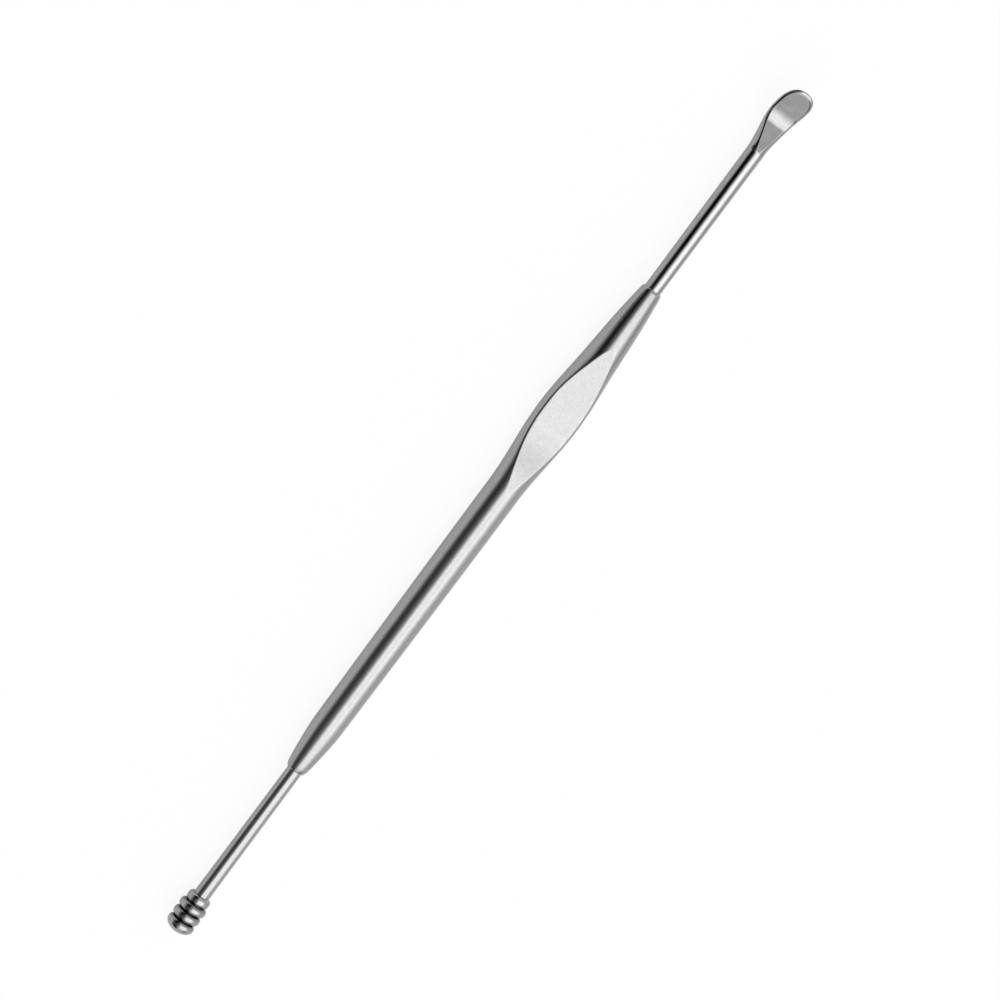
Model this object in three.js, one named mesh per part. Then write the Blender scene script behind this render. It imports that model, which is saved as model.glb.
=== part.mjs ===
// Double-ended ear pick in stainless steel, in millimetres.
// A round handle with a thumb flat pressed into both sides carries two shanks, each pressed
// into a blind socket in a tapered nose: one ends in a bent scoop, the other in turned rings.
// +X runs along the tool towards the scoop, +Z stands square to the thumb flat, and the
// origin is on the surface that the tool lies on, under the middle of its length.
import * as THREE from 'three';

// Handle: a drawn rod with a long taper at its ring end and a swaged nose at both ends
const HANDLE_LENGTH = 68.48;
const HANDLE_DIAMETER = 4.14;
const TAIL_TAPER_LENGTH = 31;
const TAIL_TAPER_CURVE = 1.35;
const TAIL_REDUCTION = 0.38;
const SCOOP_NOSE_LENGTH = 9.5;
const SCOOP_NOSE_CURVE = 1.5;
const SCOOP_RIM_WALL = 0.18;
const SCOOP_RIM_ROUND = 0.4;
const RING_NOSE_LENGTH = 6.3;
const RING_NOSE_CURVE = 1.4;
const RING_RIM_WALL = 0.28;
const RING_RIM_ROUND = 1.1;
const RIM_ROUND_SHARE = 0.8;

// Thumb flat: pressed from both sides, so the metal spreads sideways
const FLAT_FROM_SCOOP_RIM = 17.9;
const FLAT_THICKNESS = 2.22;
const FLAT_LEVEL_LENGTH = 2.6;
const FLAT_RUN_OUT = 9.6;
const FLAT_BULGE = 1.37;
const FLAT_SPREAD_LENGTH = 21.2;

// Sockets: blind holes that the shanks are pressed into
const SOCKET_DEPTH = 7;
const SOCKET_CLEARANCE = 0.03;
const SOCKET_FLOOR_GAP = 0.3;
const SHANK_CHAMFER = 0.2;

// Scoop shank: round wire whose end is flattened, dished and bent up
const SCOOP_SHANK_DIAMETER = 2.08;
const SCOOP_SHANK_FLARE = 0.1;
const SCOOP_SHANK_REACH = 19.48;
const NECK_LENGTH = 3.4;
const NECK_SLOPE = 13.5;
const BEND_RADIUS = 2.4;
const TIP_ANGLE = 40;
const TIP_LENGTH = 3.69;
const TIP_ROUND = 2.6;
const TIP_SQUARENESS = 2.3;
const TIP_BLUNTNESS = 6;
const SCOOP_WIDTH = 3.7;
const SCOOP_SPREAD_LENGTH = 6.4;
const SCOOP_SPREAD_CURVE = 1.8;
const SCOOP_THICKNESS = 0.64;
const SCOOP_DISH = 0.1;
const SCOOP_EDGE_HEIGHT = 0.3;
const SCOOP_FACE_SHARE = 0.79;
const SCOOP_FACE_CURVE = 0.58;

// Ring shank: turned bar with a row of rounded rings behind a domed end
const RING_SHANK_DIAMETER = 1.88;
const RING_SHANK_FLARE = 0.08;
const RING_SHANK_REACH = 18.12;
const RING_COUNT = 4;
const RING_DIAMETER = 3.46;
const FIRST_RING_REDUCTION = 0.54;
const RING_THICKNESS = 1.13;
const RING_SQUARENESS = 2.3;
const GROOVE_WIDTH = 0.05;
const GROOVE_DEPTH = 0.55;
const DOME_HEIGHT = 1.09;

// Polished steel, a little duller on the handle, which is handled most
const HANDLE_FINISH = { color: 0xb2b3b5, roughness: 0.3, metalness: 1 };
const SCOOP_FINISH = { color: 0xbcbdbf, roughness: 0.22, metalness: 1 };
const RING_FINISH = { color: 0xb6b7b9, roughness: 0.25, metalness: 1 };

// Facets round the tool: one facet faces straight down, so that the tool lies still on it
const SIDES = 28;
const SCOOP_FACE_SIDES = 5;
const ARC_STEPS = 5;
const NOSE_STEPS = 7;
const TAPER_STEPS = 4;
const RUN_OUT_STEPS = 9;
const NECK_STEPS = 7;
const BEND_STEPS = 8;
const TIP_STEPS = 8;
const LEAST_STATION_GAP = 0.08;
const TOLERANCE = 1e-4;

const halfFacet = Math.PI / SIDES;
const faceAngle = SCOOP_FACE_SIDES * halfFacet;
const scoopRim = HANDLE_LENGTH / 2;
const ringRim = -HANDLE_LENGTH / 2;
const scoopSocketRadius = SCOOP_SHANK_DIAMETER / 2 + SOCKET_CLEARANCE;
const ringSocketRadius = RING_SHANK_DIAMETER / 2 + SOCKET_CLEARANCE;
const handleRadius = HANDLE_DIAMETER / 2;
const tailRadius = handleRadius - TAIL_REDUCTION / 2;
const flatCentre = scoopRim - FLAT_FROM_SCOOP_RIM;

const smooth = (t) => THREE.MathUtils.smoothstep(t, 0, 1);
const { lerp, degToRad, clamp } = THREE.MathUtils;
const quarterWave = (t) => Math.sin(Math.PI / 2 * clamp(t, 0, 1));

function evenly(from, to, steps) {
  return Array.from({ length: steps + 1 }, (_, i) => lerp(from, to, i / steps));
}

// Half a cosine wave: 1 inside the level stretch, falling to 0 at the end of the run-out.
function wave(distance, level, runOut) {
  const t = clamp((Math.abs(distance) - level) / runOut, 0, 1);
  return (1 + Math.cos(Math.PI * t)) / 2;
}

// Quarter of an oval between two points of a profile. It runs along the axis at its crest,
// which is at its end or else at its start, and square to the axis at its foot. A squareness
// of 2 gives a true oval, and more gives a flatter crest and a fuller corner.
function quarter(startRadius, start, endRadius, end, crestAtEnd, squareness = 2) {
  const crest = crestAtEnd ? [endRadius, end] : [startRadius, start];
  const foot = crestAtEnd ? [startRadius, start] : [endRadius, end];
  const points = evenly(0, Math.PI / 2, ARC_STEPS).map((a) => new THREE.Vector2(
    lerp(foot[0], crest[0], Math.cos(a) ** (2 / squareness)),
    lerp(crest[1], foot[1], Math.sin(a) ** (2 / squareness)),
  ));
  return crestAtEnd ? points.reverse() : points;
}

// A profile revolved about the tool's axis, with a flat facet on top and underneath.
function revolve(profile) {
  const distinct = profile.filter((p, i) => i === 0 || p.distanceTo(profile[i - 1]) > TOLERANCE);
  return new THREE.LatheGeometry(distinct, SIDES, halfFacet).rotateZ(-Math.PI / 2);
}

// Moves every point of a revolved solid: move gets the point, its angle from straight up
// (0 to pi) and its side of the tool.
function reshape(geometry, move) {
  const position = geometry.getAttribute('position');
  const point = new THREE.Vector3();
  for (let i = 0; i < position.count; i += 1) {
    point.fromBufferAttribute(position, i);
    const side = point.y < 0 ? -1 : 1;
    move(point, Math.atan2(Math.abs(point.y), point.z), side);
    position.setXYZ(i, point.x, point.y, point.z);
  }
  geometry.computeVertexNormals();
  return geometry;
}

function part(name, geometry, finish) {
  const mesh = new THREE.Mesh(geometry, new THREE.MeshStandardMaterial(finish));
  mesh.name = name;
  return mesh;
}

const scoopRimRadius = scoopSocketRadius + SCOOP_RIM_WALL;
const ringRimRadius = ringSocketRadius + RING_RIM_WALL;
const scoopShoulder = scoopRim - SCOOP_NOSE_LENGTH;
const ringShoulder = ringRim + RING_NOSE_LENGTH;

// Radius of the round handle before it is pressed: each nose and the tail fall away in a curve.
function rodRadius(x) {
  if (x > scoopShoulder) {
    const fall = ((x - scoopShoulder) / SCOOP_NOSE_LENGTH) ** SCOOP_NOSE_CURVE;
    return lerp(handleRadius, scoopRimRadius, fall);
  }
  if (x < ringShoulder) {
    const fall = ((ringShoulder - x) / RING_NOSE_LENGTH) ** RING_NOSE_CURVE;
    return lerp(tailRadius, ringRimRadius, fall);
  }
  const fall = clamp(1 - (x - ringShoulder) / TAIL_TAPER_LENGTH, 0, 1) ** TAIL_TAPER_CURVE;
  return lerp(handleRadius, tailRadius, fall);
}

function handleStations(from, to) {
  const level = FLAT_LEVEL_LENGTH / 2;
  const pressed = level + FLAT_RUN_OUT;
  const wanted = [
    ...evenly(from, ringShoulder, NOSE_STEPS),
    ...evenly(ringShoulder, ringShoulder + TAIL_TAPER_LENGTH, TAPER_STEPS),
    ...evenly(flatCentre - pressed, flatCentre - level, RUN_OUT_STEPS),
    ...evenly(flatCentre + level, flatCentre + pressed, RUN_OUT_STEPS),
    ...evenly(scoopShoulder, to, NOSE_STEPS),
  ].filter((x) => x >= from && x <= to).sort((a, b) => a - b);
  return wanted.filter((x, i) => i === 0 || x - wanted[i - 1] > LEAST_STATION_GAP);
}

function handle() {
  const from = ringRim + RING_RIM_ROUND;
  const to = scoopRim - SCOOP_RIM_ROUND;
  const ringEdge = lerp(rodRadius(from), ringSocketRadius, RIM_ROUND_SHARE);
  const scoopEdge = lerp(rodRadius(to), scoopSocketRadius, RIM_ROUND_SHARE);
  const profile = [
    new THREE.Vector2(0, ringRim + SOCKET_DEPTH),
    new THREE.Vector2(ringSocketRadius, ringRim + SOCKET_DEPTH),
    new THREE.Vector2(ringSocketRadius, ringRim),
    ...quarter(ringEdge, ringRim, rodRadius(from), from, true),
    ...handleStations(from, to).map((x) => new THREE.Vector2(rodRadius(x), x)),
    ...quarter(rodRadius(to), to, scoopEdge, scoopRim, false),
    new THREE.Vector2(scoopSocketRadius, scoopRim),
    new THREE.Vector2(scoopSocketRadius, scoopRim - SOCKET_DEPTH),
    new THREE.Vector2(0, scoopRim - SOCKET_DEPTH),
  ];
  // The dies push the top and bottom facets in to the flat's level and widen them, and the
  // sides bulge out by the metal that they displace.
  const press = (point, angle, side) => {
    const radius = Math.hypot(point.y, point.z);
    const offset = point.x - flatCentre;
    const depth = wave(offset, FLAT_LEVEL_LENGTH / 2, FLAT_RUN_OUT);
    const spread = wave(offset, 0, FLAT_SPREAD_LENGTH / 2);
    const isSkin = Math.abs(radius - rodRadius(point.x)) < TOLERANCE;
    if (spread + depth === 0 || !isSkin) return;
    const level = lerp(handleRadius, FLAT_THICKNESS / 2, depth);
    const edge = Math.max(halfFacet, Math.acos(Math.min(1, level / radius)));
    const turned = lerp(edge, Math.PI - edge, (angle - halfFacet) / (Math.PI - 2 * halfFacet));
    const stretch = 1 + spread * FLAT_BULGE / HANDLE_DIAMETER;
    point.y = side * radius * stretch * Math.sin(turned);
    point.z = radius * Math.cos(turned);
  };
  return part('handle', reshape(revolve(profile), press), HANDLE_FINISH);
}

function scoopShank() {
  const shankRadius = SCOOP_SHANK_DIAMETER / 2;
  const neckRadius = shankRadius + SCOOP_SHANK_FLARE / 2;
  const inner = scoopRim - SOCKET_DEPTH + SOCKET_FLOOR_GAP;
  const neckStart = scoopRim + SCOOP_SHANK_REACH;
  const slope = degToRad(NECK_SLOPE);
  const tipAngle = degToRad(TIP_ANGLE);

  // The scoop's hollow seen from the side: down the neck, round the bend and up to the tip.
  const bendCentre = new THREE.Vector2(
    neckStart + NECK_LENGTH + BEND_RADIUS * Math.sin(slope),
    neckRadius - NECK_LENGTH * Math.tan(slope) + BEND_RADIUS * Math.cos(slope),
  );
  const neckPath = NECK_LENGTH / Math.cos(slope);
  const bendPath = BEND_RADIUS * (slope + tipAngle);
  const fullWidthAt = neckPath + bendPath;
  const bladePath = fullWidthAt + TIP_LENGTH;
  const roundAt = bladePath - TIP_ROUND;

  const hollowAt = (s) => {
    const turn = clamp((s - neckPath) / BEND_RADIUS, 0, slope + tipAngle) - slope;
    const straight = s < neckPath ? s - neckPath : Math.max(0, s - fullWidthAt);
    return {
      x: bendCentre.x + BEND_RADIUS * Math.sin(turn) + straight * Math.cos(turn),
      z: bendCentre.y - BEND_RADIUS * Math.cos(turn) + straight * Math.sin(turn),
      turn: turn * Math.min(1, s / neckPath),
    };
  };

  // One section across the blade: a dished face between two edges, and an oval back.
  const forge = (point, angle, side) => {
    const s = point.x - neckStart;
    if (s <= TOLERANCE) return;
    const hollow = hollowAt(s);
    const along = Math.min(1, s / fullWidthAt);
    const formed = smooth(along);
    const opened = quarterWave(along ** SCOOP_FACE_CURVE);
    const spread = quarterWave(s / SCOOP_SPREAD_LENGTH) ** SCOOP_SPREAD_CURVE;
    const pastRound = clamp((s - roundAt) / TIP_ROUND, 0, 1);
    const narrowing = (1 - pastRound ** TIP_SQUARENESS) ** (1 / TIP_SQUARENESS);
    const thinning = Math.sqrt(1 - pastRound ** TIP_BLUNTNESS);
    const halfWidth = lerp(neckRadius, SCOOP_WIDTH / 2, spread) * narrowing;
    const edgeHeight = lerp(neckRadius, SCOOP_EDGE_HEIGHT, formed) * thinning;
    const backDepth = lerp(neckRadius, SCOOP_THICKNESS - SCOOP_EDGE_HEIGHT, formed) * thinning;
    const rimRise = SCOOP_DISH * opened ** 2;
    const dish = rimRise * narrowing ** 2;
    const faceEdge = Math.asin(SCOOP_FACE_SHARE * opened);
    let across = SCOOP_FACE_SHARE * opened * angle / faceAngle;
    let drop = dish * (1 - (angle / faceAngle) ** 2);
    if (angle > faceAngle) {
      const turned = lerp(faceEdge, Math.PI, (angle - faceAngle) / (Math.PI - faceAngle));
      const depth = turned < Math.PI / 2 ? edgeHeight / Math.cos(faceEdge) : backDepth;
      across = Math.sin(turned);
      drop = edgeHeight - depth * Math.cos(turned);
    }
    point.set(
      hollow.x + (drop - rimRise) * Math.sin(hollow.turn),
      side * halfWidth * across,
      hollow.z - (drop - rimRise) * Math.cos(hollow.turn),
    );
  };

  const stations = [
    ...evenly(0, neckPath, NECK_STEPS).slice(1),
    ...evenly(neckPath, fullWidthAt, BEND_STEPS).slice(1),
    ...evenly(0, Math.PI / 2, TIP_STEPS).map((a) => lerp(roundAt, bladePath, Math.sin(a))),
  ].sort((a, b) => a - b);
  const spaced = stations.filter((s, i) => i === 0 || s - stations[i - 1] > TOLERANCE);
  const blade = spaced.slice(0, -1).map((s) => new THREE.Vector2(neckRadius, neckStart + s));
  const profile = [
    new THREE.Vector2(0, inner),
    new THREE.Vector2(shankRadius - SHANK_CHAMFER, inner),
    new THREE.Vector2(shankRadius, inner + SHANK_CHAMFER),
    new THREE.Vector2(shankRadius, scoopRim),
    new THREE.Vector2(neckRadius, neckStart),
    ...blade,
    new THREE.Vector2(0, neckStart + bladePath),
  ];
  return part('scoop_shank', reshape(revolve(profile), forge), SCOOP_FINISH);
}

function ringShank() {
  const shankRadius = RING_SHANK_DIAMETER / 2;
  const neckRadius = shankRadius + RING_SHANK_FLARE / 2;
  const grooveRadius = RING_DIAMETER / 2 - GROOVE_DEPTH;
  const inner = ringRim + SOCKET_DEPTH - SOCKET_FLOOR_GAP;
  const headStart = ringRim - RING_SHANK_REACH;
  const pitch = RING_THICKNESS + GROOVE_WIDTH;
  const half = RING_THICKNESS / 2;

  // The rings from the domed end back to the shank, each one two quarters of an oval.
  const rings = Array.from({ length: RING_COUNT }, (_, i) => {
    const isFirst = i === RING_COUNT - 1;
    const isLast = i === 0;
    const radius = (RING_DIAMETER - (isFirst ? FIRST_RING_REDUCTION : 0)) / 2;
    const crest = headStart - half - (RING_COUNT - 1 - i) * pitch;
    const outer = isLast
      ? quarter(0, crest - DOME_HEIGHT, radius, crest, true)
      : quarter(grooveRadius, crest - half, radius, crest, true, RING_SQUARENESS);
    const inwardFoot = isFirst ? neckRadius : grooveRadius;
    const inward = quarter(radius, crest, inwardFoot, crest + half, false, RING_SQUARENESS);
    return [...outer, ...inward];
  });
  const profile = [
    ...rings.flat(),
    new THREE.Vector2(shankRadius, ringRim),
    new THREE.Vector2(shankRadius, inner - SHANK_CHAMFER),
    new THREE.Vector2(shankRadius - SHANK_CHAMFER, inner),
    new THREE.Vector2(0, inner),
  ];
  return part('ring_shank', revolve(profile), RING_FINISH);
}

const tool = new THREE.Group();
tool.add(handle(), scoopShank(), ringShank());

const extent = new THREE.Box3().setFromObject(tool);
tool.position.set(-(extent.min.x + extent.max.x) / 2, 0, -extent.min.z);
tool.updateMatrixWorld(true);

const earPick = new THREE.Group();
earPick.add(tool);

export default earPick;
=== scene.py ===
import math

import bmesh
import bpy
from mathutils import Matrix, Vector


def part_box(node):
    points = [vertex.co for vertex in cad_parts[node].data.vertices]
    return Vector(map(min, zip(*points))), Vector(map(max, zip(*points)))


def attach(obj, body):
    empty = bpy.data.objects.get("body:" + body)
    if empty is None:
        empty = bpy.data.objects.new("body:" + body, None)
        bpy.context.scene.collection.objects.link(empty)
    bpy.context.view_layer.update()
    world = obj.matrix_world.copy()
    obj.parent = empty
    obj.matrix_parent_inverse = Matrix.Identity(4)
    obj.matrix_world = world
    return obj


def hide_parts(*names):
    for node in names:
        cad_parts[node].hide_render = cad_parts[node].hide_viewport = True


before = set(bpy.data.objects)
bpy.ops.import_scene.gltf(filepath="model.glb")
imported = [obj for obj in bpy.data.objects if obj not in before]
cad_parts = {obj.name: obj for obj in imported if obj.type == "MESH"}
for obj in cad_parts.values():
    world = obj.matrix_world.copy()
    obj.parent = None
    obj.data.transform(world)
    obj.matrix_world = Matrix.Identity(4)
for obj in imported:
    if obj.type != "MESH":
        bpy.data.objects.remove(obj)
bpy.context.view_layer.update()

# Handle
# A solid bar of stainless steel, drawn to a slight taper and swaged to a nose at both ends.
# Two dies press the thumb flat, so that its sides bulge, and each nose is drilled for a shank.
MM = 0.001  # Lengths are in millimetres, and this turns them to metres.
handle_low, handle_high = (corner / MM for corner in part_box("handle"))
RING_RIM = handle_low.x
SCOOP_RIM = handle_high.x
AXIS_HEIGHT = handle_high.z / 2
HANDLE_RADIUS = 2.07
TAIL_RADIUS = 1.88
TAIL_TAPER_LENGTH = 31
TAIL_TAPER_CURVE = 1.35
SCOOP_NOSE_LENGTH = 9.5
SCOOP_NOSE_CURVE = 1.5
SCOOP_RIM_RADIUS = 1.25
SCOOP_RIM_ROUND = 0.4
SCOOP_SOCKET_RADIUS = 1.07
RING_NOSE_LENGTH = 6.3
RING_NOSE_CURVE = 1.4
RING_RIM_RADIUS = 1.25
RING_RIM_ROUND = 1.1
RING_SOCKET_RADIUS = 0.97
RIM_LAND = 0.04
RIM_STEPS = 8
SOCKET_DEPTH = 7
FLAT_FROM_RIM = 17.9
FLAT_CENTRE = SCOOP_RIM - FLAT_FROM_RIM
FLAT_HALF_THICKNESS = 1.11
FLAT_HALF_LEVEL = 1.3
FLAT_RUN_OUT = 9.6
FLAT_BULGE = 1.37
FLAT_BULGE_REACH = 10.6
FLAT_EDGE_SOFTNESS = 0.1
FLAT_HOLLOW = 0.04
HANDLE_CUTS = 230
HANDLE_SIDES = 208
WELD_DISTANCE = 0.0005
SHARP_ANGLE = math.radians(50)
STEEL_GREY = "#9C9C9C"
FLECK_LENGTH = 0.45
FLECK_WIDTH = 0.15
FLECK_DEPTH = 0.0002
FLECK_FINENESS = 0.6
CLOUD_SIZE = 1.0
NOISE_DETAIL = 2
NOISE_LOW = 0.3
NOISE_HIGH = 0.7
SHADE_SPREAD = 0.09
DULL_SPREAD = 0.15
GROUND_ROUGHNESS = 0.17
GROUND_CLOUDS = 0.1


def mix(a, b, share):
    return a + (b - a) * share


def half_wave(distance, level_length, run_out):
    """1 on the level stretch, falling to 0 at the end of the run-out."""
    share = min(1, max(0, (abs(distance) - level_length) / run_out))
    return (1 + math.cos(math.pi * share)) / 2


def held_below(height, limit, softness):
    """The height, held below the limit with a rounded edge where the two meet."""
    over = height - limit
    return height - (over + math.hypot(over, 2 * softness)) / 2


def bar_radius(x):
    """Radius of the bar before it is pressed: each nose and the tail fall away in a curve."""
    past_scoop_shoulder = x - SCOOP_RIM + SCOOP_NOSE_LENGTH
    past_ring_shoulder = RING_RIM + RING_NOSE_LENGTH - x
    if past_scoop_shoulder > 0:
        fall = (past_scoop_shoulder / SCOOP_NOSE_LENGTH) ** SCOOP_NOSE_CURVE
        return mix(HANDLE_RADIUS, SCOOP_RIM_RADIUS, fall)
    if past_ring_shoulder > 0:
        fall = (past_ring_shoulder / RING_NOSE_LENGTH) ** RING_NOSE_CURVE
        return mix(TAIL_RADIUS, RING_RIM_RADIUS, fall)
    fall = max(0, 1 + past_ring_shoulder / TAIL_TAPER_LENGTH) ** TAIL_TAPER_CURVE
    return mix(HANDLE_RADIUS, TAIL_RADIUS, fall)


def rounded_rim(start, rim, edge_radius):
    """Stations of a nose's rounded rim, from where the round starts to the rim itself."""
    depth = bar_radius(rim) - edge_radius
    turns = [math.pi / 2 * step / RIM_STEPS for step in range(1, RIM_STEPS + 1)]
    places = [(mix(start, rim, math.sin(t)), depth * (1 - math.cos(t))) for t in turns]
    return [(x, bar_radius(x) - drop) for x, drop in places]


def wire(mesh, start, stations):
    """Adds vertices in line from an existing one, each (along the axis, radius)."""
    for x, radius in stations:
        new = mesh.verts.new((x, 0, radius))
        mesh.edges.new((start, new))
        start = new
    return start


def weld(mesh):
    bmesh.ops.remove_doubles(mesh, verts=mesh.verts[:], dist=WELD_DISTANCE)


def spin_round(mesh, sides):
    """Turns a profile about the tool's axis into a closed solid, as on a lathe."""
    bmesh.ops.spin(
        mesh, geom=mesh.verts[:] + mesh.edges[:], cent=(0, 0, 0), axis=(1, 0, 0),
        angle=math.tau, steps=sides, use_merge=True,
    )
    weld(mesh)
    bmesh.ops.recalc_face_normals(mesh, faces=mesh.faces[:])


def finish_piece(node, mesh, material):
    """Lifts a solid to the tool's axis, in metres, and seats it on the tool."""
    bmesh.ops.translate(mesh, verts=mesh.verts[:], vec=(0, 0, AXIS_HEIGHT))
    bmesh.ops.scale(mesh, verts=mesh.verts[:], vec=(MM, MM, MM))
    name = node + "_polished"
    data = bpy.data.meshes.new(name)
    mesh.to_mesh(data)
    mesh.free()
    data.polygons.foreach_set("use_smooth", [True] * len(data.polygons))
    data.set_sharp_from_angle(angle=SHARP_ANGLE)
    data.materials.append(material)
    piece = bpy.data.objects.new(name, data)
    bpy.context.scene.collection.objects.link(piece)
    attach(piece, "root")
    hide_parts(node)


def linear(hex_colour):
    """An sRGB hex colour as the linear RGBA that a socket takes."""
    channels = [int(hex_colour[i:i + 2], 16) / 255 for i in (1, 3, 5)]
    return [c / 12.92 if c <= 0.04045 else ((c + 0.055) / 1.055) ** 2.4 for c in channels] + [1]


def add_node(tree, kind, inputs=None, **settings):
    """Adds a node with its settings. An input is a value, or the output that it links to."""
    node = tree.nodes.new(kind)
    for key, value in settings.items():
        setattr(node, key, value)
    for key, value in (inputs or {}).items():
        if isinstance(value, bpy.types.NodeSocket):
            tree.links.new(value, node.inputs[key])
        else:
            node.inputs[key].default_value = value
    return node


def steel(name, roughness, cloud_share, painted_shade=None):
    """Stainless steel, ground lengthwise and polished: bright and a little grey. Grinding leaves
    a grain of small flecks, polishing leaves broad faint clouds, and an optional painted shade
    darkens the steel in recesses. The real grain is too fine to show, so the flecks are drawn
    coarser."""
    material = bpy.data.materials.new(name)
    material.use_nodes = True
    tree = material.node_tree
    tree.nodes.clear()
    place = add_node(tree, "ShaderNodeTexCoord").outputs["Object"]
    drawn = add_node(tree, "ShaderNodeMapping", {
        "Vector": place,
        "Scale": (1 / FLECK_LENGTH / MM, 1 / FLECK_WIDTH / MM, 1 / FLECK_WIDTH / MM),
    }).outputs["Vector"]
    flecks = add_node(tree, "ShaderNodeTexNoise", {
        "Vector": drawn, "Scale": 1, "Detail": NOISE_DETAIL, "Roughness": FLECK_FINENESS,
    }).outputs["Fac"]
    clouds = add_node(tree, "ShaderNodeTexNoise", {
        "Vector": place, "Scale": 1 / CLOUD_SIZE / MM, "Detail": NOISE_DETAIL,
    }).outputs["Fac"]
    worn = add_node(tree, "ShaderNodeMix", {
        "Factor": cloud_share, "A": flecks, "B": clouds,
    }).outputs["Result"]
    dulled = add_node(tree, "ShaderNodeMapRange", {
        "Value": clouds, "From Min": NOISE_LOW, "From Max": NOISE_HIGH,
        "To Min": roughness * (1 - DULL_SPREAD), "To Max": roughness * (1 + DULL_SPREAD),
    }).outputs["Result"]
    shade = add_node(tree, "ShaderNodeMapRange", {
        "Value": worn, "From Min": NOISE_LOW, "From Max": NOISE_HIGH,
        "To Min": 1 - SHADE_SPREAD, "To Max": 1 + SHADE_SPREAD,
    }).outputs["Result"]
    # Painted shade, where it is given, darkens the steel's colour.
    if painted_shade:
        shade = add_node(tree, "ShaderNodeMath", {
            0: shade, 1: painted_shade(tree, place),
        }, operation="MULTIPLY").outputs[0]
    tone = add_node(tree, "ShaderNodeMix", {
        "Factor": 1.0, "A": linear(STEEL_GREY), "B": shade,
    }, data_type="RGBA", blend_type="MULTIPLY").outputs["Result"]
    relief = add_node(tree, "ShaderNodeBump", {
        "Height": flecks, "Strength": 1.0, "Distance": FLECK_DEPTH * MM,
    }).outputs["Normal"]
    shader = add_node(tree, "ShaderNodeBsdfPrincipled", {
        "Base Color": tone, "Metallic": 1.0, "Roughness": dulled, "Normal": relief,
    }).outputs["BSDF"]
    add_node(tree, "ShaderNodeOutputMaterial", {"Surface": shader})
    return material


handle_mesh = bmesh.new()
ring_round_start = RING_RIM + RING_RIM_ROUND
scoop_round_start = SCOOP_RIM - SCOOP_RIM_ROUND
bar_start = handle_mesh.verts.new((ring_round_start, 0, 0))
wire(handle_mesh, bar_start, [(scoop_round_start, 0)])
bmesh.ops.subdivide_edges(handle_mesh, edges=handle_mesh.edges[:], cuts=HANDLE_CUTS)
for vertex in handle_mesh.verts:
    vertex.co.z = bar_radius(vertex.co.x)
ring_end = min(handle_mesh.verts, key=lambda end: end.co.x)
scoop_end = max(handle_mesh.verts, key=lambda end: end.co.x)
wire(handle_mesh, ring_end, [
    *rounded_rim(ring_round_start, RING_RIM, RING_SOCKET_RADIUS + RIM_LAND),
    (RING_RIM, RING_SOCKET_RADIUS),
    (RING_RIM + SOCKET_DEPTH, RING_SOCKET_RADIUS),
    (RING_RIM + SOCKET_DEPTH, 0),
])
wire(handle_mesh, scoop_end, [
    *rounded_rim(scoop_round_start, SCOOP_RIM, SCOOP_SOCKET_RADIUS + RIM_LAND),
    (SCOOP_RIM, SCOOP_SOCKET_RADIUS),
    (SCOOP_RIM - SOCKET_DEPTH, SCOOP_SOCKET_RADIUS),
    (SCOOP_RIM - SOCKET_DEPTH, 0),
])
spin_round(handle_mesh, HANDLE_SIDES)

# The dies press the bar from above and below, and it bulges to both sides.
for vertex in handle_mesh.verts:
    x, y, z = vertex.co
    from_flat = x - FLAT_CENTRE
    if abs(from_flat) < FLAT_HALF_LEVEL + FLAT_RUN_OUT:
        depth = half_wave(from_flat, FLAT_HALF_LEVEL, FLAT_RUN_OUT)
        bulge = half_wave(from_flat, 0, FLAT_BULGE_REACH)
        flat_height = mix(HANDLE_RADIUS, FLAT_HALF_THICKNESS, depth)
        flat_height -= FLAT_HOLLOW * depth * (1 - (y / HANDLE_RADIUS) ** 2)
        softness = FLAT_EDGE_SOFTNESS * depth
        vertex.co.y = y * (1 + bulge * FLAT_BULGE / (2 * HANDLE_RADIUS))
        vertex.co.z = math.copysign(held_below(abs(z), flat_height, softness), z)

# Ground and then polished to a soft gloss: the bands of light along the bar have soft edges, and
# fine flecks show where the flat is bright.
ground_steel = steel("ground_stainless_steel", GROUND_ROUGHNESS, GROUND_CLOUDS)
finish_piece("handle", handle_mesh, ground_steel)

# Scoop shank
# A length of round stainless wire, pressed into the handle's nose. Its end is flattened and
# dished between dies, and then bent up to form the scoop.
SOCKET_FLOOR_GAP = 0.3
SCOOP_SHANK_RADIUS = 1.04
SCOOP_NECK_RADIUS = 1.09
SHANK_START = SCOOP_RIM - SOCKET_DEPTH + SOCKET_FLOOR_GAP
SHANK_CHAMFER = 0.2
SCOOP_STEM_LENGTH = 19.48
NECK_START = SCOOP_RIM + SCOOP_STEM_LENGTH
NECK_LENGTH = 3.4
STEM_LAND = 0.2
NECK_SLOPE = math.radians(13.5)
BEND_RADIUS = 2.4
TIP_ANGLE = math.radians(40)
TIP_LENGTH = 3.69
TIP_ROUND = 2.6
TIP_SQUARENESS = 2.3
TIP_BLUNTNESS = 6
SCOOP_HALF_WIDTH = 1.85
SCOOP_SPREAD_LENGTH = 6.4
SCOOP_SPREAD_CURVE = 1.8
EDGE_HEIGHT = 0.3
BACK_DEPTH = 0.34
DISH = 0.1
FACE_SHARE = 0.79
FACE_CURVE = 0.58
LIP_SOFTNESS = 0.05
BLADE_CUTS = 260
BLADE_CROWDING = 1.5
SHANK_SIDES = 216
WIRE_ROUGHNESS = 0.09
WIRE_CLOUDS = 0.75

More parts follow.
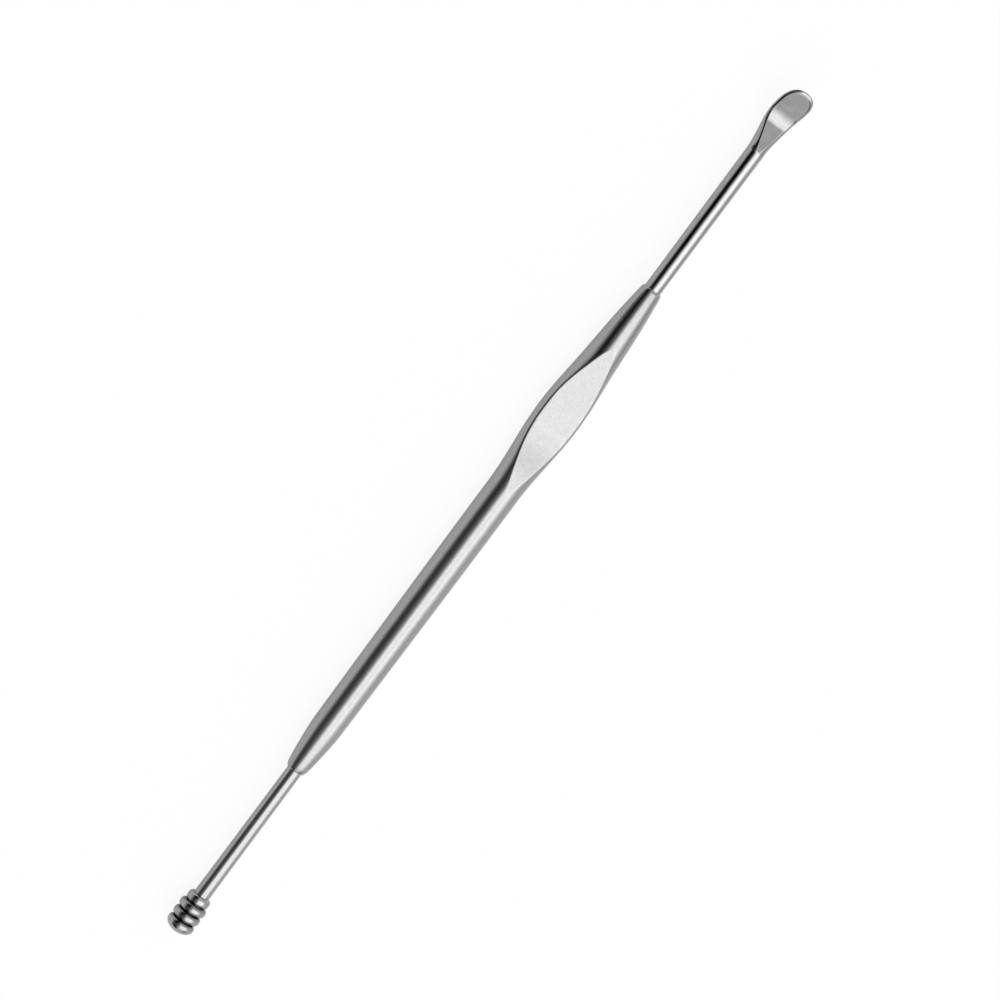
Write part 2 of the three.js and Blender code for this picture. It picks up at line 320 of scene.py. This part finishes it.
neck_path = NECK_LENGTH / math.cos(NECK_SLOPE)
full_width_at = neck_path + BEND_RADIUS * (NECK_SLOPE + TIP_ANGLE)
blade_path = full_width_at + TIP_LENGTH
round_at = blade_path - TIP_ROUND
bend_x = NECK_START + NECK_LENGTH + BEND_RADIUS * math.sin(NECK_SLOPE)
bend_z = (
    SCOOP_NECK_RADIUS - NECK_LENGTH * math.tan(NECK_SLOPE) + BEND_RADIUS * math.cos(NECK_SLOPE)
)


def ease(share):
    """A share from 0 to 1 that starts and ends gently."""
    share = min(1, max(0, share))
    return share * share * (3 - 2 * share)


def quarter_wave(share):
    """A share from 0 to 1 that starts briskly and ends gently."""
    return math.sin(math.pi / 2 * min(1, max(0, share)))


def hollow_at(path):
    """Place and slope of the middle of the scoop's hollow, at a distance along it."""
    turn = min(NECK_SLOPE + TIP_ANGLE, max(0, (path - neck_path) / BEND_RADIUS)) - NECK_SLOPE
    straight = path - neck_path if path < neck_path else max(0, path - full_width_at)
    x = bend_x + BEND_RADIUS * math.sin(turn) + straight * math.cos(turn)
    z = bend_z - BEND_RADIUS * math.cos(turn) + straight * math.sin(turn)
    return x, z, turn * min(1, path / neck_path)


scoop_mesh = bmesh.new()
tail = scoop_mesh.verts.new((SHANK_START, 0, 0))
neck = wire(scoop_mesh, tail, [
    (SHANK_START, SCOOP_SHANK_RADIUS - SHANK_CHAMFER),
    (SHANK_START + SHANK_CHAMFER, SCOOP_SHANK_RADIUS),
    (SCOOP_RIM, SCOOP_SHANK_RADIUS),
    (NECK_START - STEM_LAND, SCOOP_NECK_RADIUS),
    (NECK_START, SCOOP_NECK_RADIUS),
])
tip = wire(scoop_mesh, neck, [(NECK_START + blade_path, SCOOP_NECK_RADIUS)])
blade_line = scoop_mesh.edges.get((neck, tip))
bmesh.ops.subdivide_edges(scoop_mesh, edges=[blade_line], cuts=BLADE_CUTS)
spin_round(scoop_mesh, SHANK_SIDES)

# The dies form the end of the wire: each cut across it becomes an oval with a hollow upper face.
for vertex in scoop_mesh.verts:
    x, y, z = vertex.co
    if x <= NECK_START:
        continue
    path = blade_path * (1 - max(0, 1 - (x - NECK_START) / blade_path) ** BLADE_CROWDING)
    angle = math.atan2(abs(y), z)
    hollow_x, hollow_z, turn = hollow_at(path)
    along = min(1, path / full_width_at)
    formed = ease(along)
    opened = quarter_wave(along ** FACE_CURVE)
    past_round = min(1, max(0, (path - round_at) / TIP_ROUND))
    narrowing = (1 - past_round ** TIP_SQUARENESS) ** (1 / TIP_SQUARENESS)
    spread = quarter_wave(path / SCOOP_SPREAD_LENGTH) ** SCOOP_SPREAD_CURVE
    half_width = mix(SCOOP_NECK_RADIUS, SCOOP_HALF_WIDTH, spread) * narrowing
    edge_height = mix(SCOOP_NECK_RADIUS, EDGE_HEIGHT, formed)
    rim_rise = DISH * opened ** 2
    if angle < math.pi / 2:
        face_share = FACE_SHARE * opened
        oval = edge_height / math.sqrt(1 - face_share ** 2) * narrowing * math.cos(angle)
        from_middle = 1 - (narrowing * math.cos(angle)) ** 2
        face = edge_height - rim_rise * (1 - from_middle / face_share ** 2)
        height = held_below(oval, face, LIP_SOFTNESS * opened)
    else:
        thinning = math.sqrt(1 - past_round ** TIP_BLUNTNESS)
        height = mix(SCOOP_NECK_RADIUS, BACK_DEPTH, formed) * thinning * math.cos(angle)
    lift = height - edge_height + rim_rise
    vertex.co = (
        hollow_x - lift * math.sin(turn),
        math.copysign(half_width * math.sin(angle), y),
        hollow_z + lift * math.cos(turn),
    )
weld(scoop_mesh)

# Drawn and then polished brighter than the handle: the bands of light are crisp, and faint
# clouds show in the hollow.
bright_wire = steel("bright_stainless_wire", WIRE_ROUGHNESS, WIRE_CLOUDS)
finish_piece("scoop_shank", scoop_mesh, bright_wire)

# Ring shank
# A bar of stainless steel, pressed into the handle's other nose. Its end is turned on a lathe
# to a row of rounded rings behind a domed end, and polished.
RING_SHANK_RADIUS = 0.94
RING_NECK_RADIUS = 0.98
RING_SHANK_START = RING_RIM + SOCKET_DEPTH - SOCKET_FLOOR_GAP
RING_STEM_LENGTH = 18.12
HEAD_START = RING_RIM - RING_STEM_LENGTH
RING_RADIUS = 1.73
FIRST_RING_RADIUS = 1.46
RING_THICKNESS = 1.13
RING_SQUARENESS = 2.3
GROOVE_WIDTH = 0.05
GROOVE_RADIUS = 1.18
DOME_HEIGHT = 1.09
RING_COUNT = 4
RING_PITCH = RING_THICKNESS + GROOVE_WIDTH
FIRST_CREST = HEAD_START - RING_THICKNESS / 2
ARC_STEPS = 16
TURNED_ROUGHNESS = 0.1
TURNED_CLOUDS = 0.2
# Painted shade in the grooves: its darkest level, how far from a groove it stays darkest, and
# where it ends.
GROOVE_SHADE_LEVEL = 0.38
DARKEST_TO = 0.03
UNSHADED_FROM = 0.42


def quarter(foot, crest, squareness=2):
    """Quarter of an oval from its foot, square to the axis, to its crest, along the axis.
    A squareness over 2 gives a flatter crest."""
    turns = [math.pi / 2 * step / ARC_STEPS for step in range(ARC_STEPS + 1)]
    shares = [[wave(t) ** (2 / squareness) for wave in (math.cos, math.sin)] for t in turns]
    return [(mix(crest[0], foot[0], c), mix(foot[1], crest[1], s)) for c, s in shares]


def groove_painted_shade(tree, place):
    """Painted shade in the grooves between the rings: 1 on the middle of a ring, dark near a
    groove.
    """
    last_crest = FIRST_CREST - (RING_COUNT - 1) * RING_PITCH
    x = add_node(tree, "ShaderNodeSeparateXYZ", {0: place}).outputs["X"]
    on_rings = add_node(tree, "ShaderNodeClamp", {
        "Value": x, "Min": last_crest * MM, "Max": FIRST_CREST * MM,
    }).outputs["Result"]
    from_head = add_node(tree, "ShaderNodeMath", {
        0: on_rings, 1: (HEAD_START + GROOVE_WIDTH / 2) * MM,
    }, operation="SUBTRACT").outputs[0]
    from_groove = add_node(tree, "ShaderNodeMath", {
        0: from_head, 1: RING_PITCH / 2 * MM,
    }, operation="PINGPONG").outputs[0]
    return add_node(tree, "ShaderNodeMapRange", {
        "Value": from_groove, "From Min": DARKEST_TO * MM, "From Max": UNSHADED_FROM * MM,
        "To Min": GROOVE_SHADE_LEVEL, "To Max": 1.0,
    }, interpolation_type="SMOOTHSTEP").outputs["Result"]


ring_mesh = bmesh.new()
ring_tail = ring_mesh.verts.new((RING_SHANK_START, 0, 0))
end = wire(ring_mesh, ring_tail, [
    (RING_SHANK_START, RING_SHANK_RADIUS - SHANK_CHAMFER),
    (RING_SHANK_START - SHANK_CHAMFER, RING_SHANK_RADIUS),
    (RING_RIM, RING_SHANK_RADIUS),
])
for ring in range(RING_COUNT):
    radius = FIRST_RING_RADIUS if ring == 0 else RING_RADIUS
    foot_radius = RING_NECK_RADIUS if ring == 0 else GROOVE_RADIUS
    crest_x = FIRST_CREST - ring * RING_PITCH
    crest = (crest_x, radius)
    half = RING_THICKNESS / 2
    rise = quarter((crest_x + half, foot_radius), crest, RING_SQUARENESS)
    if ring == RING_COUNT - 1:
        fall = quarter((crest_x - DOME_HEIGHT, 0), crest)
    else:
        fall = quarter((crest_x - half, GROOVE_RADIUS), crest, RING_SQUARENESS)
    # The fall is drawn from its foot too, so it is turned round and shares the rise's crest.
    end = wire(ring_mesh, end, rise + fall[-2::-1])
spin_round(ring_mesh, SHANK_SIDES)

# Turned and polished bright: small crisp glints sit on the crests, and painted shade darkens the
# grooves.
turned_steel = steel("turned_stainless_steel", TURNED_ROUGHNESS, TURNED_CLOUDS, groove_painted_shade)
finish_piece("ring_shank", ring_mesh, turned_steel)

# Floor
# A plain sheet of matt white paper that the round bar lies on along one line. It glows to white
# where the camera sees it, and less where the metal mirrors it, and it keeps the tool's shadow.
FLOOR_SIZE = 6000
PAPER_WHITE = "#F8F8F8"
GLOW_WHITE = (1, 1, 1, 1)
SEEN_GLOW = 0.92
MIRRORED_GLOW = 0.3
floor_mesh = bmesh.new()
bmesh.ops.create_grid(floor_mesh, x_segments=1, y_segments=1, size=FLOOR_SIZE / 2 * MM)
bmesh.ops.translate(
    floor_mesh, verts=floor_mesh.verts[:], vec=(0, 0, (AXIS_HEIGHT - HANDLE_RADIUS) * MM)
)
floor_data = bpy.data.meshes.new("floor")
floor_mesh.to_mesh(floor_data)
floor_mesh.free()
floor = bpy.data.objects.new("floor", floor_data)
bpy.context.scene.collection.objects.link(floor)
paper = bpy.data.materials.new("matt_white_paper")
paper.use_nodes = True
sheet = paper.node_tree
sheet.nodes.clear()
rays = add_node(sheet, "ShaderNodeLightPath").outputs
in_metal_or_glass = add_node(sheet, "ShaderNodeMath", {
    0: rays["Is Glossy Ray"], 1: rays["Is Transmission Ray"],
}, operation="MAXIMUM").outputs[0]
mirrored = add_node(sheet, "ShaderNodeMath", {
    0: in_metal_or_glass, 1: MIRRORED_GLOW,
}, operation="MULTIPLY").outputs[0]
lifted = add_node(sheet, "ShaderNodeMath", {
    0: rays["Is Camera Ray"], 1: SEEN_GLOW, 2: mirrored,
}, operation="MULTIPLY_ADD").outputs[0]
matt = add_node(sheet, "ShaderNodeBsdfDiffuse", {"Color": linear(PAPER_WHITE)}).outputs["BSDF"]
glow = add_node(sheet, "ShaderNodeEmission", {
    "Color": GLOW_WHITE, "Strength": 1.0,
}).outputs["Emission"]
blended = add_node(sheet, "ShaderNodeMixShader", {0: lifted, 1: matt, 2: glow}).outputs["Shader"]
add_node(sheet, "ShaderNodeOutputMaterial", {"Surface": blended})
floor_data.materials.append(paper)

# Light
# A white studio tent with a long soft strip light on one side of the tool and black flags on the
# other. Each has its levels at angles round the tool's axis and along it, as (degrees, level).
TENT = 0.94
STRIP = 1.95
# The strip light, the faint seam in its cloth, and the brighter spot at its middle.
STRIP_ROUND = [
    (-13, 0), (-5, 0.45), (1, 0.88), (7, 1), (39, 0.98), (46, 0.78), (53, 0.48), (60, 0.24),
    (68, 0.1), (80, 0),
]
STRIP_ALONG = [
    (-78, 0), (-60, 0.12), (-46, 0.34), (-34, 0.58), (-26, 0.69), (-18, 0.78), (-8, 0.91),
    (-3, 0.84), (2.5, 0.8), (8, 0.79), (13, 0.58), (19, 0.38), (25, 0),
]
SEAM_ROUND = [(8, 0), (15, 0.22), (24, 0.22), (31, 0)]
SEAM_ALONG = [
    (-20, 0), (-9, 1), (-4, 1), (-1.5, 0.2), (0.8, 0.2), (2, 0.9), (4.5, 0.9), (6, 0),
]
SPOT_ROUND = [(12, 0), (20, 0.24), (40, 0.24), (50, 0)]
MIDDLE_ALONG = [(-2.8, 0), (-1.6, 1), (1.6, 1), (2.8, 0)]
# The long flag, the denser cloth at its middle, and the short flag that hangs lower beside it.
FLAG_ROUND = [
    (-92, 0), (-84, 0.06), (-75, 0.44), (-68, 0.8), (-62, 0.95), (-55, 0.98), (-40, 0.98),
    (-35, 0.88), (-30, 0.83), (-24, 0.74), (-17, 0.42), (-9, 0),
]
FLAG_ALONG = [
    (-86, 0), (-80, 0.9), (-30, 0.92), (-14, 0.9), (-6, 0.92), (0, 1), (72, 1), (86, 0),
]
DENSE_ROUND = [(-66, 0), (-56, 1), (-29, 1), (-19, 0)]
LOW_FLAG_ROUND = [(-96, 0), (-90, 0.45), (-84, 0.75), (-75, 0.94), (-45, 0.96), (-30, 0)]
LOW_FLAG_ALONG = [(5.5, 0), (7, 1), (10.5, 1), (13, 0)]
# The dark gaps where the tent stands open on both sides.
LEFT_GAP_ROUND = [(-96, 0), (-91, 1), (-40, 1), (-18, 0)]
LEFT_GAP_ALONG = [(-88, 0), (-82, 0.95), (-48, 0.95), (-32, 0)]
RIGHT_GAP_ROUND = [(38, 0), (50, 1), (91, 1), (96, 0)]
RIGHT_GAP_ALONG = [
    (-60, 0), (-54, 0.7), (-42, 0.7), (-32, 0), (-4, 0), (-2, 0.3), (11, 0.3), (16, 0),
]
# The strip light and the long flag lean over by this angle at the middle of the tool.
LEAN = 9
LEAN_ALONG = [(-4, 0), (-1.5, 0.8), (1.5, 1), (2.2, 1), (4, 0)]

world = bpy.data.worlds.new("studio_tent")
bpy.context.scene.world = world
world.use_nodes = True
sky = world.node_tree
sky.nodes.clear()


def combine(operation, *values):
    return add_node(sky, "ShaderNodeMath", dict(enumerate(values)), operation=operation).outputs[0]


def level(angle, stops):
    """A level from 0 to 1 that follows an angle, from stop to stop."""
    first, last = (math.radians(stops[i][0]) for i in (0, -1))
    share = add_node(sky, "ShaderNodeMapRange", {
        "Value": angle, "From Min": first, "From Max": last,
    }).outputs["Result"]
    ramp = add_node(sky, "ShaderNodeValToRGB", {"Fac": share})
    elements = ramp.color_ramp.elements
    for degrees, _ in stops[1:-1]:
        elements.new((math.radians(degrees) - first) / (last - first))
    for element, (_, value) in zip(elements, stops):
        element.color = (value, value, value, 1)
    return ramp.outputs["Color"]


def patch(around, round_stops, along_stops):
    """A patch of the tent: its level round the tool, where 0 degrees is straight up, times its
    level along the tool, where 90 degrees is straight past the scoop."""
    return combine("MULTIPLY", level(around, round_stops), level(along_tool, along_stops))


direction = add_node(sky, "ShaderNodeTexCoord").outputs["Generated"]
parts = add_node(sky, "ShaderNodeSeparateXYZ", {0: direction}).outputs
along_tool = combine("ARCSINE", parts["X"])
roll = combine("ARCTAN2", combine("MULTIPLY", parts["Y"], -1.0), parts["Z"])
lean = combine("MULTIPLY", level(along_tool, LEAN_ALONG), -math.radians(LEAN))
leaning_roll = combine("ADD", roll, lean)
dark = patch(leaning_roll, FLAG_ROUND, FLAG_ALONG)
for dark_patch in (
    patch(leaning_roll, DENSE_ROUND, MIDDLE_ALONG),
    patch(roll, LOW_FLAG_ROUND, LOW_FLAG_ALONG),
    patch(roll, LEFT_GAP_ROUND, LEFT_GAP_ALONG),
    patch(roll, RIGHT_GAP_ROUND, RIGHT_GAP_ALONG),
):
    dark = combine("MAXIMUM", dark, dark_patch)
tent = combine("MULTIPLY_ADD", dark, -TENT, TENT)
spot = patch(roll, SPOT_ROUND, MIDDLE_ALONG)
strip = combine("ADD", patch(leaning_roll, STRIP_ROUND, STRIP_ALONG), spot)
seam = patch(roll, SEAM_ROUND, SEAM_ALONG)
strip_level = combine("MULTIPLY_ADD", seam, -STRIP, STRIP)
light = combine("MULTIPLY_ADD", strip, strip_level, tent)
backdrop = add_node(sky, "ShaderNodeBackground", {
    "Color": GLOW_WHITE, "Strength": light,
}).outputs["Background"]
add_node(sky, "ShaderNodeOutputWorld", {"Surface": backdrop})

# Camera
# It looks down on the tool from a little to one side, with the scoop towards the upper right.
VIEW_TILT = math.radians(5)
VIEW_ROLL = math.radians(15.5)
TOOL_RUN = 0.59739
TOOL_RISE = 0.80195
TOOL_ANGLE = math.atan2(TOOL_RISE, TOOL_RUN)
PIXELS_PER_MM = 8.79
FOCAL_PIXELS = 4000
CAMERA_DISTANCE = FOCAL_PIXELS / PIXELS_PER_MM
AIM_POINT = Vector((1.181, 0, AXIS_HEIGHT))
AIM_PIXEL = (490.48, 507.38)
IMAGE_SIZE = 1000
SENSOR_WIDTH = 36
NEAR_CLIP = 0.01
FAR_CLIP = 100
to_camera = Vector((
    math.sin(VIEW_TILT),
    math.cos(VIEW_TILT) * math.sin(VIEW_ROLL),
    math.cos(VIEW_TILT) * math.cos(VIEW_ROLL),
))
tool_axis = Vector((1, 0, 0))
tool_line = (tool_axis - tool_axis.dot(to_camera) * to_camera).normalized()
tool_side = to_camera.cross(tool_line)
right = math.cos(TOOL_ANGLE) * tool_line - math.sin(TOOL_ANGLE) * tool_side
up = math.sin(TOOL_ANGLE) * tool_line + math.cos(TOOL_ANGLE) * tool_side
offset = (
    right * (IMAGE_SIZE / 2 - AIM_PIXEL[0]) + up * (AIM_PIXEL[1] - IMAGE_SIZE / 2)
) / PIXELS_PER_MM
lens = bpy.data.cameras.new("camera")
lens.sensor_width = SENSOR_WIDTH
lens.lens = SENSOR_WIDTH * FOCAL_PIXELS / IMAGE_SIZE
lens.clip_start = NEAR_CLIP
lens.clip_end = FAR_CLIP
camera = bpy.data.objects.new("camera", lens)
bpy.context.scene.collection.objects.link(camera)
camera.matrix_world = Matrix.Translation(
    (AIM_POINT + to_camera * CAMERA_DISTANCE + offset) * MM
) @ Matrix((right, up, to_camera)).transposed().to_4x4()
bpy.context.scene.camera = camera
bpy.context.scene.view_settings.view_transform = "Standard"
